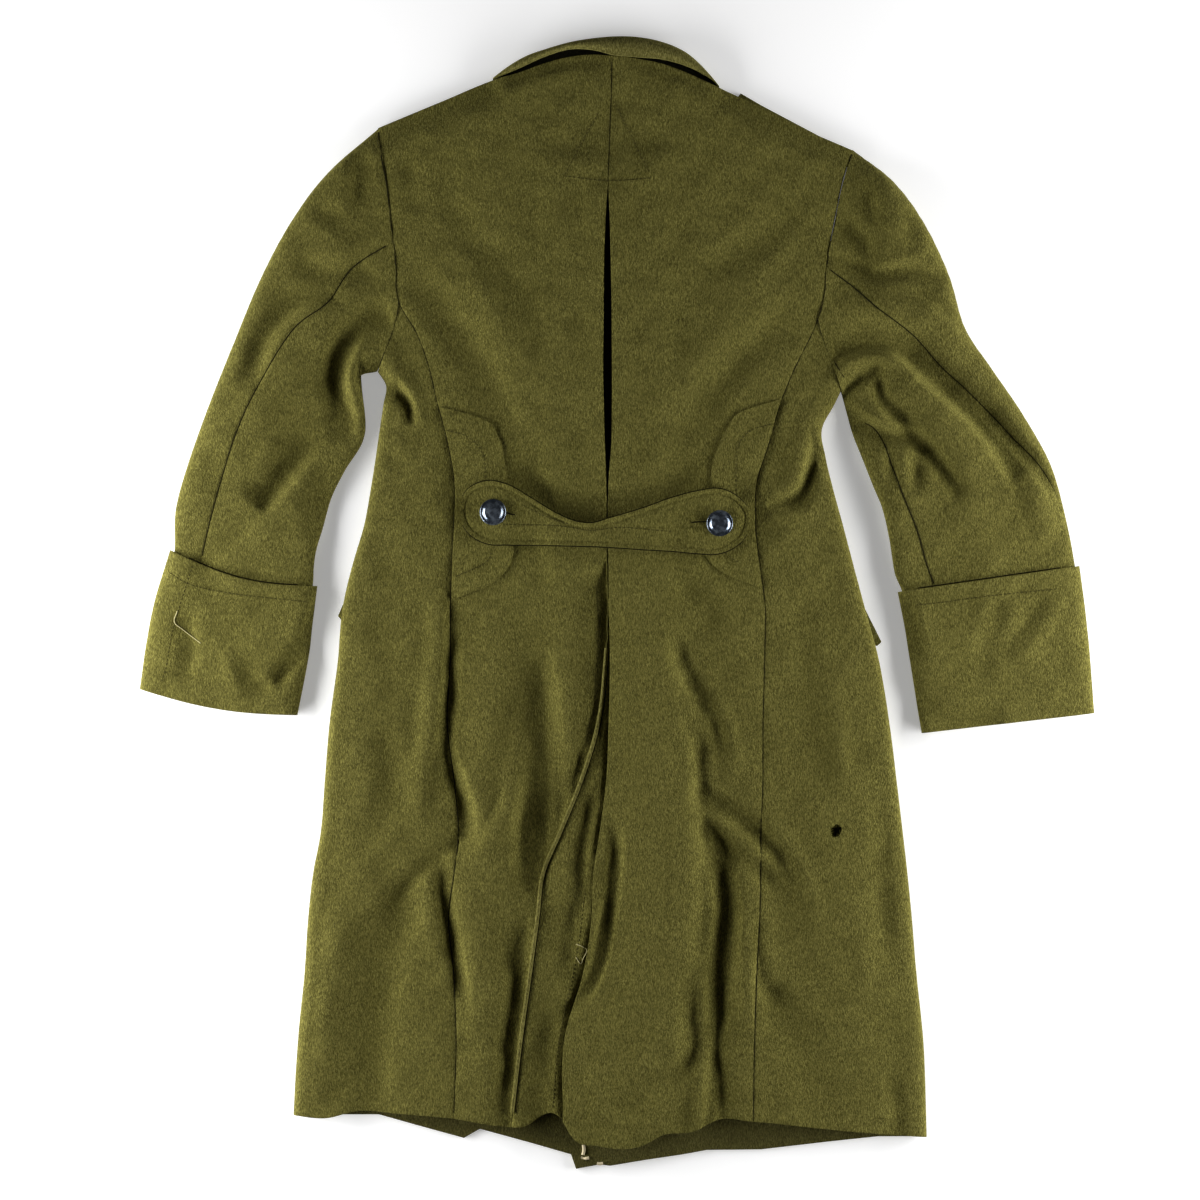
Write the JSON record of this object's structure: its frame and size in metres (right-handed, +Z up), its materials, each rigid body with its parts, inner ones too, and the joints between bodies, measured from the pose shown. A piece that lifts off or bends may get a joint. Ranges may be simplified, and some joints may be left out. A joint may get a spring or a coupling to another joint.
{
  "type": "military greatcoat",
  "caption": "Long khaki wool military greatcoat laid face down and flat, with a half belt, pleated back, vent, deep cuffs and a rolled collar.",
  "frame": {"origin": "on the floor under the middle of the coat's box", "axes": "+X to the right across the coat seen from above, +Y from the hem to the collar, +Z up from the floor"},
  "size_m": [0.953, 1.1311, 0.0254],
  "materials": {
    "wool": "thick olive khaki wool melton with a short fibrous nap",
    "button_metal": "domed metal, dark blue-black, half gloss"
  },
  "bodies": {
    "root": {"back_left": "wool", "back_right": "wool", "pleat_insert": "wool", "vent_underlap": "wool", "front_left": "wool", "front_right": "wool", "top_sleeve_left": "wool", "under_sleeve_left": "wool", "top_sleeve_right": "wool", "under_sleeve_right": "wool", "cuff_left": "wool", "cuff_right": "wool", "collar": "wool", "half_belt": "wool", "waist_patch_left": "wool", "waist_patch_right": "wool", "belt_button_left": "button_metal", "belt_button_right": "button_metal", "shoulder_strap_left": "wool", "shoulder_strap_right": "wool", "pocket_flap_left": "wool", "pocket_flap_right": "wool"}
  },
  "joints": []
}
